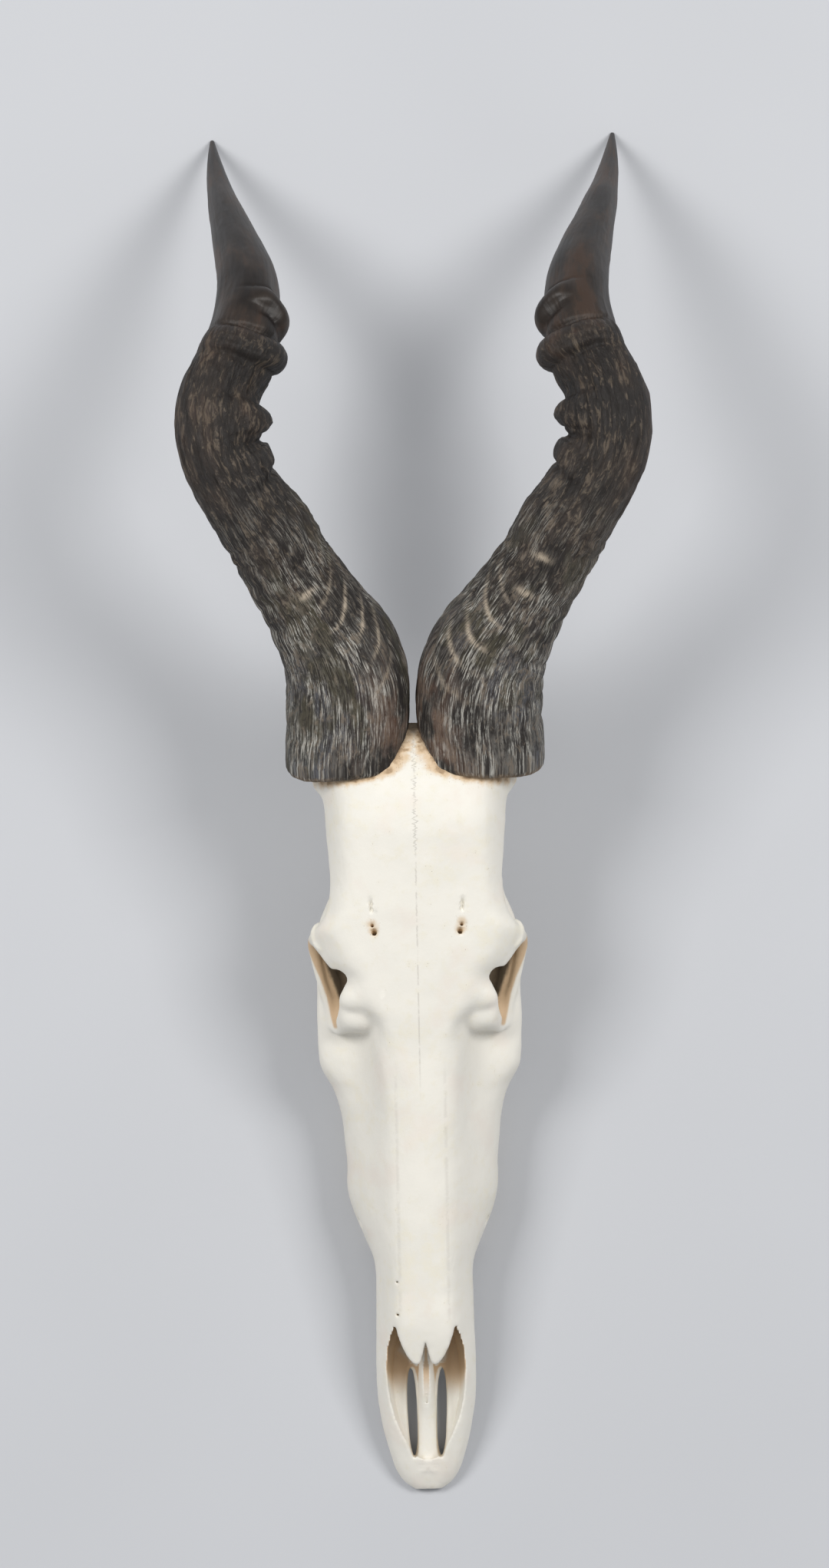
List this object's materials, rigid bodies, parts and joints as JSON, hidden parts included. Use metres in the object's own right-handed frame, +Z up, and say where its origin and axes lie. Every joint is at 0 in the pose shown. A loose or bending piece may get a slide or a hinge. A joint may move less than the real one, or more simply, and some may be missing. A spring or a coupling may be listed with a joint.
{
  "type": "antelope skull with horns",
  "caption": "Bleached hartebeest skull without lower jaw, with twisted ringed horns, lying on its cheek teeth and horn tips.",
  "frame": {"origin": "middle of the footprint, on the surface that the skull lies on", "axes": "+Y from the snout towards the horn tips, +Z up out of the forehead, +X to the right seen from above with the horns away"},
  "size_m": [0.2854, 0.865, 0.2359],
  "materials": {
    "bone": "bleached dry bone, matt, stained yellow-brown where the horns meet it",
    "horn": "dark brown-black horn with grey fibres at the base and a dull sheen towards the tips",
    "tooth": "worn, stained tooth enamel, slightly glossy"
  },
  "bodies": {
    "root": {"cranium": "bone", "horn_left": "horn", "horn_right": "horn", "premolar_1_left": "tooth", "premolar_1_right": "tooth", "premolar_2_left": "tooth", "premolar_2_right": "tooth", "premolar_3_left": "tooth", "premolar_3_right": "tooth", "molar_1_left": "tooth", "molar_1_right": "tooth", "molar_2_left": "tooth", "molar_2_right": "tooth", "molar_3_left": "tooth", "molar_3_right": "tooth"}
  },
  "joints": []
}
